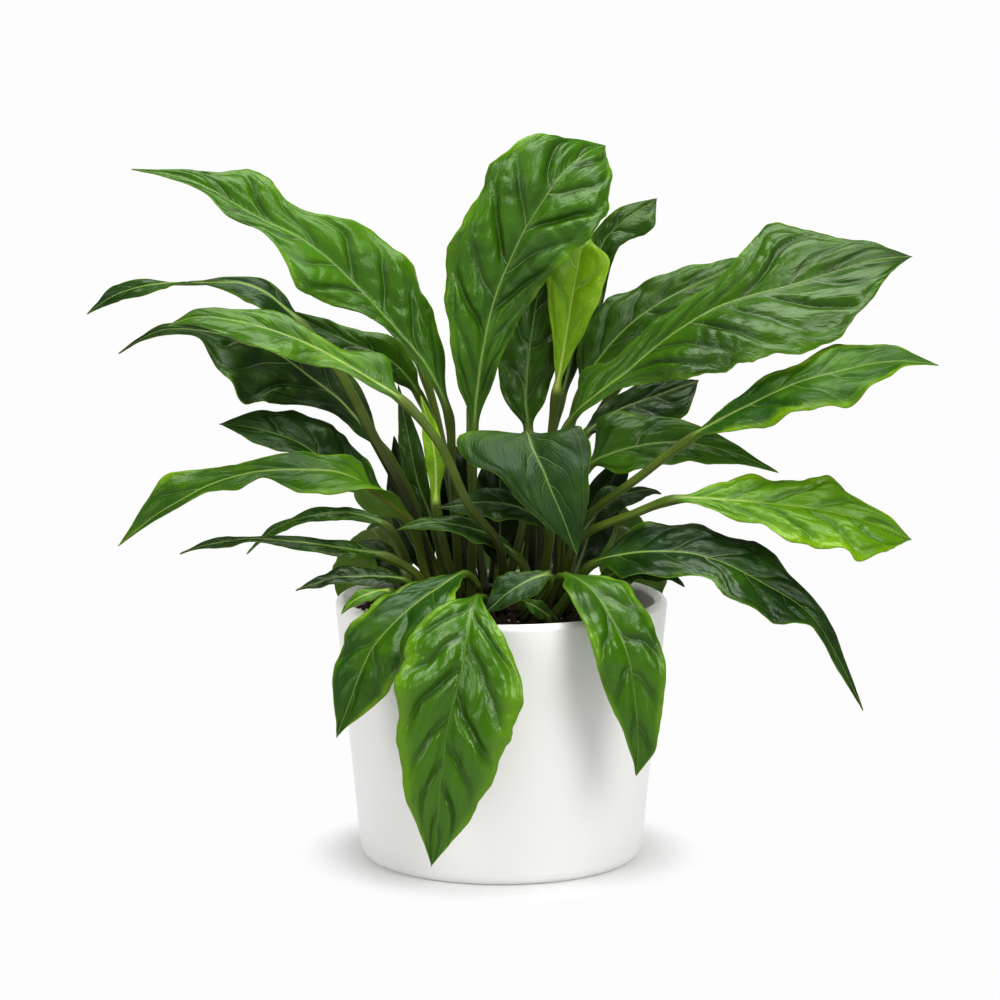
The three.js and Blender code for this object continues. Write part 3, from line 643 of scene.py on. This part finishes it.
def tube_faces(rows, row_size):
    """The faces of a tube of point rows, closed at both ends."""
    numbers = np.arange(rows * row_size).reshape(rows, row_size)
    beside = np.roll(numbers, -1, axis=1)
    quads = np.stack([numbers[:-1], beside[:-1], beside[1:], numbers[1:]], axis=-1)
    faces = quads.reshape(-1, 4)[:, ::-1].tolist()
    return faces + [numbers[0].tolist(), numbers[-1][::-1].tolist()]


def build_leaf(node):
    """The fine leaf: rows of points round the stalk and blade, from the soil to the tip."""
    chance = random.Random(node)
    course = leaf_course(node)
    usual = (chance.uniform(0.2, 0.8), 0.8, 1, 1, 0.2)
    style = INNER_STYLE if node.startswith("leaf_inner_back") else STYLE.get(node, usual)
    tone_and_inner_shade, gloss, quilting, waviness, blotch = style
    wander = [chance.uniform(0, 2 * math.pi) for _ in range(12)]

    share = course.share
    width = max(np.linalg.norm(reach, axis=1).max() for reach in course.reach.values())
    rib_count = int(np.clip(round(course.blade_length / SIDE_RIB_STEP), *SIDE_RIBS))
    slant = SIDE_RIB_SLANT * width / course.blade_length
    rib_radius = course.stalk_radius * (MIDRIB_RADIUS - MIDRIB_TAPER * share ** 0.5)
    into_blade = smoothstep(0.0, BLADE_START, course.along)
    calm = smoothstep(0.0, CALM_FOOT, share) * (1 - smoothstep(CALM_TIP, 1.0, share))

    columns = leaf_columns(width)
    shape = (len(course.along), len(columns))
    points = np.empty((*shape, 3))
    values = {name: np.zeros(shape) for name in ("phase", "midrib", "cells_out")}
    for number, (level, hand, v) in enumerate(columns):
        reach = course.reach[hand]
        local = np.linalg.norm(reach, axis=1, keepdims=True)
        distance = v * local
        phase = rib_phase(share, hand, v, rib_count, slant, wander)
        collector = -COLLECTOR_DEPTH * math.exp(-((v - COLLECTOR_PLACE) / 0.04) ** 2)
        lift = calm * (
            quilted(phase, local, v, hand, quilting, wander)
            + waved(share, local, v, hand, waviness, wander)
            + collector * (local > COLLECTOR_LEAST_WIDTH)
        )
        scallop = 1 + v ** 4 * calm * (
            SCALLOP * np.cos(2 * math.pi * phase)
            + FINE_SCALLOP * np.cos(6 * math.pi * phase + wander[10])
        )
        ridge = np.exp(-(distance / (RIDGE_SPREAD * rib_radius)) ** 2)
        half = (EDGE_THICKNESS + (BLADE_THICKNESS - EDGE_THICKNESS) * (1 - v ** 3)) / 2
        half = half * (1 - TIP_THINNING * share)
        rise = half + rib_radius * ridge * (RIDGE_ABOVE if level > 0 else RIDGE_BELOW)
        blade_point = course.centre + reach * scallop * v + course.up * (lift + level * rise)
        stalk_point = stalk_section(course, level, hand, v)
        points[:, number] = stalk_point + (blade_point - stalk_point) * into_blade
        values["phase"][:, number] = phase[:, 0]
        values["midrib"][:, number] = ridge[:, 0]
        values["cells_out"][:, number] = distance[:, 0] / NET_CELL

    slot = SLOT_OF[node]
    points = points.reshape(-1, 3).tolist()
    leaf = new_piece(node + "_fine", points, tube_faces(*shape), LEAF_MATERIALS[slot])
    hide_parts(node)

    values["along"] = course.along
    values["across"] = [v for _, _, v in columns]
    values["under"] = [1.0 if level < 0 else 0.0 for level, _, _ in columns]
    values["blade"] = smoothstep(-0.01, 0.06, course.along)
    values["tone_and_inner_shade"] = tone_and_inner_shade
    values["gloss"] = gloss
    values["blotch"] = blotch
    for name, table in values.items():
        layer = leaf.data.attributes.new(name, "FLOAT", "POINT")
        table = np.broadcast_to(np.asarray(table, dtype=np.float32), shape)
        layer.data.foreach_set("value", table.reshape(-1))


# ---- pot ----

POT_TURNS = 192
WALL = 9.5 * MM
FLOOR = 9 * MM
FOOT_RADIUS = 103 * MM
FOOT_EDGE = 9 * MM


def arc(centre_radius, centre_height, radius, start, end, steps=14):
    """Points of a profile round an arc, from one angle to the other in degrees."""
    angles = [math.radians(start + (end - start) * step / steps) for step in range(steps + 1)]
    return [
        (centre_radius + radius * math.cos(angle), centre_height + radius * math.sin(angle))
        for angle in angles
    ]


def turned(profile, turns):
    """Points and faces of a profile of (radius, height) turned about Z, from axis to axis."""
    points = [(0, 0, profile[0][1])]
    for radius, height in profile[1:-1]:
        points += [(*on_circle(radius, turn, turns), height) for turn in range(turns)]
    points.append((0, 0, profile[-1][1]))
    faces = []
    rings = len(profile) - 2
    last = len(points) - 1
    top = 1 + (rings - 1) * turns
    for turn in range(turns):
        after = (turn + 1) % turns
        faces.append((0, 1 + after, 1 + turn))
        for low in range(1, top, turns):
            high = low + turns
            faces.append((low + turn, low + after, high + after, high + turn))
        faces.append((top + turn, top + after, last))
    return points, faces


def build_pot():
    low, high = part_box("pot")
    height = high.z
    rim_radius = (high.x - low.x) / 2
    lip = WALL / 2
    floor_share = FLOOR / height
    inside_at_floor = FOOT_RADIUS + (rim_radius - FOOT_RADIUS) * floor_share - WALL
    floor_radius = inside_at_floor - FOOT_EDGE
    profile = [(0, 0)]
    profile += arc(FOOT_RADIUS - FOOT_EDGE, FOOT_EDGE, FOOT_EDGE, -90, 0)
    profile += arc(rim_radius - lip, height - lip, lip, 0, 180)
    profile += arc(floor_radius, FLOOR + FOOT_EDGE, FOOT_EDGE, 0, -90)
    profile += [(0, FLOOR)]
    points, faces = turned(profile, POT_TURNS)
    pot = new_piece("pot_fine", points, faces, glaze_material())
    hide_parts("pot")


# ---- soil ----

SOIL_RINGS = 60
SOIL_TURNS = 160
SOIL_DEPTH = 2.2 * MM       # how far its mean surface lies below the top of the CAD's soil
SOIL_SAG = 3.5 * MM         # and how much lower it lies at the wall
LUMP_HEIGHT = 1.3 * MM
CRUMB_HEIGHT = 0.5 * MM
SOIL_BOTTOM_SHARE = 0.88    # its radius at the bottom, as a share of that at the top
GRAIN_REACH = 0.97          # the grains' outer limit, as a share of the soil's radius
GRAIN_LENGTH = 1.2          # in shares of its size
GRAIN_WIDTH = 0.9
GRAIN_LUMPS = (0.7, 1.25)   # least and most that a corner of it is drawn in or out


def soil_height(x, y, share, top):
    """The uneven surface of the mix, sagging towards the wall, where share is 1."""
    lumps = math.sin(190 * x + 3 * math.sin(120 * y)) * math.sin(170 * y + 2 * math.sin(150 * x))
    crumbs = math.sin(610 * x + 1) * math.sin(570 * y + 2)
    return (
        top - SOIL_DEPTH + LUMP_HEIGHT * lumps + CRUMB_HEIGHT * crumbs - SOIL_SAG * share ** 4
    )


def build_soil():
    low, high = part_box("soil")
    radius = (high.x - low.x) / 2
    turns = range(SOIL_TURNS)
    points = [(0, 0, soil_height(0, 0, 0, high.z))]
    for ring in range(1, SOIL_RINGS + 1):
        share = ring / SOIL_RINGS
        for turn in turns:
            x, y = on_circle(radius * share, turn, SOIL_TURNS)
            points.append((x, y, soil_height(x, y, share, high.z)))
    faces = [(0, 1 + turn, 1 + (turn + 1) % SOIL_TURNS) for turn in turns]
    for ring in range(SOIL_RINGS - 1):
        near = 1 + ring * SOIL_TURNS
        far = near + SOIL_TURNS
        for turn in turns:
            after = (turn + 1) % SOIL_TURNS
            faces.append((near + turn, far + turn, far + after, near + after))
    outer = 1 + (SOIL_RINGS - 1) * SOIL_TURNS
    bottom = len(points)
    for turn in turns:
        points.append((*on_circle(SOIL_BOTTOM_SHARE * radius, turn, SOIL_TURNS), low.z))
        after = (turn + 1) % SOIL_TURNS
        faces.append((outer + turn, bottom + turn, bottom + after, outer + after))
    faces.append([bottom + turn for turn in reversed(turns)])
    soil = new_piece("soil_fine", points, faces, soil_material())
    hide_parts("soil")
    return high.z, radius * GRAIN_REACH


def grains(name, material, radius, top, count, smallest, largest, flat, sunk):
    """Many small rough stones as one piece, strewn over the soil."""
    points = []
    faces = []
    for _ in range(count):
        reach = radius * math.sqrt(random.random())
        angle = random.uniform(0, 2 * math.pi)
        x, y = reach * math.cos(angle), reach * math.sin(angle)
        size = random.uniform(smallest, largest) * random.uniform(0.7, 1)
        z = soil_height(x, y, reach / radius, top) + size * sunk
        stone = bmesh.new()
        bmesh.ops.create_icosphere(stone, subdivisions=1, radius=size / 2)
        spin = random.uniform(0, math.pi)
        start = len(points)
        for vertex in stone.verts:
            vertex.co *= random.uniform(*GRAIN_LUMPS)
            x_out, y_out = vertex.co.x * GRAIN_LENGTH, vertex.co.y * GRAIN_WIDTH
            place = Vector((x_out, y_out, vertex.co.z * flat))
            points.append((
                x + place.x * math.cos(spin) - place.y * math.sin(spin),
                y + place.x * math.sin(spin) + place.y * math.cos(spin),
                z + place.z,
            ))
        faces.extend([start + vertex.index for vertex in face.verts] for face in stone.faces)
        stone.free()
    new_piece(name, points, faces, material)


# ---- stage ----

BACKDROP = 0.985            # brightness of the white behind the plant and of the floor
FRONT_GLOW = 0.26           # brightness of the room before the plant and above it
# By direction, the room turns white from the first value to the second: to the back, low down.
ROOM_RAMPS = (("Y", -0.2, 0.5), ("Z", 0.4, 0.08))
SHADOW_EDGE = (0.098, 0.152)    # reaches from the middle at which the shadow starts to fade, ends
FLOOR_GLOW = 0.14           # share of the backdrop's white in the floor under the pot
FLOOR_GREY = 0.93
FLOOR_REACH = 60.0
FLOOR_TURNS = 96
TONE_GAMMA = 0.78           # below 1, it deepens the dark greens
CAMERA_LENS = 121           # in millimetres, with a sensor 36 wide
CAMERA_PLACE = (0, -2.4, 0.609)
CAMERA_TARGET = (-0.001, 0, 0.260)
# Each light's name, place, target, diameter and power.
LIGHTS = (
    ("overhead", (0.1, -0.2, 1.7), (0, 0, 0.25), 1.4, 28),
    ("right_front", (1.2, -1.9, 1.5), (0, 0, 0.3), 1.3, 28),
    ("left_front", (-1.6, -1.6, 1.3), (0, 0, 0.3), 1.3, 14),
)


def floor_material():
    """A white studio floor that runs out from the pot's foot into the white of the background."""
    shader = Shader("studio_floor")
    shader.set("Base Color", (FLOOR_GREY, FLOOR_GREY, FLOOR_GREY, 1))
    shader.set("Roughness", 0.9)
    shader.set("Specular IOR Level", 0.1)
    length = shader.node("ShaderNodeVectorMath", operation="LENGTH")
    shader.put(length.inputs[0], shader.place())
    glow = shader.node("ShaderNodeEmission")
    shader.put(glow.inputs["Color"], (BACKDROP, BACKDROP, BACKDROP, 1))
    blend = shader.node("ShaderNodeMixShader")
    shader.put(blend.inputs[0], shader.ramp(length.outputs["Value"], *SHADOW_EDGE, FLOOR_GLOW, 1))
    shader.put(blend.inputs[1], shader.surface.outputs[0])
    shader.put(blend.inputs[2], glow.outputs[0])
    shader.put(shader.tree.nodes["Material Output"].inputs["Surface"], blend.outputs[0])
    return shader.material


def build_floor():
    mesh = bpy.data.meshes.new("floor")
    turns = range(FLOOR_TURNS)
    points = [(*on_circle(FLOOR_REACH, turn, FLOOR_TURNS), 0) for turn in turns]
    mesh.from_pydata(points, [], [list(turns)])
    mesh.materials.append(floor_material())
    floor = bpy.data.objects.new("floor", mesh)
    bpy.context.scene.collection.objects.link(floor)


def build_room():
    """A dim even room that turns white low down behind the plant."""
    world = bpy.data.worlds.new("studio")
    world.use_nodes = True
    tree = world.node_tree
    split = tree.nodes.new("ShaderNodeSeparateXYZ")
    tree.links.new(tree.nodes.new("ShaderNodeTexCoord").outputs["Generated"], split.inputs[0])
    shares = []
    for axis, low, high in ROOM_RAMPS:
        ramp = tree.nodes.new("ShaderNodeMapRange")
        ramp.interpolation_type = "SMOOTHSTEP"
        ramp.inputs["From Min"].default_value = low
        ramp.inputs["From Max"].default_value = high
        tree.links.new(split.outputs[axis], ramp.inputs["Value"])
        shares.append(ramp.outputs["Result"])
    backdrop = tree.nodes.new("ShaderNodeMath")
    backdrop.operation = "MULTIPLY"
    total = tree.nodes.new("ShaderNodeMath")
    total.operation = "MULTIPLY_ADD"
    total.inputs[1].default_value = BACKDROP - FRONT_GLOW
    total.inputs[2].default_value = FRONT_GLOW
    for number, share in enumerate(shares):
        tree.links.new(share, backdrop.inputs[number])
    tree.links.new(backdrop.outputs[0], total.inputs[0])
    background = tree.nodes["Background"]
    background.inputs["Color"].default_value = (1, 1, 1, 1)
    tree.links.new(total.outputs[0], background.inputs["Strength"])
    bpy.context.scene.world = world


def facing(thing, place, target):
    """Puts a lamp or camera at a place, looking at a target."""
    thing.location = place
    aim = Vector(target) - Vector(place)
    thing.rotation_euler = aim.to_track_quat("-Z", "Y").to_euler()
    bpy.context.scene.collection.objects.link(thing)


def soft_light(name, place, target, size, power):
    lamp = bpy.data.lights.new(name, "AREA")
    lamp.shape = "DISK"
    lamp.size = size
    lamp.energy = power
    facing(bpy.data.objects.new(name, lamp), place, target)


def build_camera():
    lens = bpy.data.cameras.new("camera")
    lens.lens = CAMERA_LENS
    lens.sensor_width = 36
    camera = bpy.data.objects.new("camera", lens)
    facing(camera, CAMERA_PLACE, CAMERA_TARGET)
    bpy.context.scene.camera = camera


build_floor()
build_room()
bpy.context.scene.view_settings.view_transform = "Standard"
bpy.context.scene.view_settings.gamma = TONE_GAMMA
for light in LIGHTS:
    soft_light(*light)
build_camera()

build_pot()
soil_top, grain_radius = build_soil()
grains(
    "soil_crumbs", soil_material(), grain_radius, soil_top,
    count=2600, smallest=2.2 * MM, largest=5.5 * MM, flat=0.7, sunk=0.1,
)
grains(
    "perlite_grains", perlite_material(), grain_radius, soil_top,
    count=130, smallest=1.6 * MM, largest=3.4 * MM, flat=0.8, sunk=0.35,
)
for leaf_node in LEAF_NODES:
    build_leaf(leaf_node)
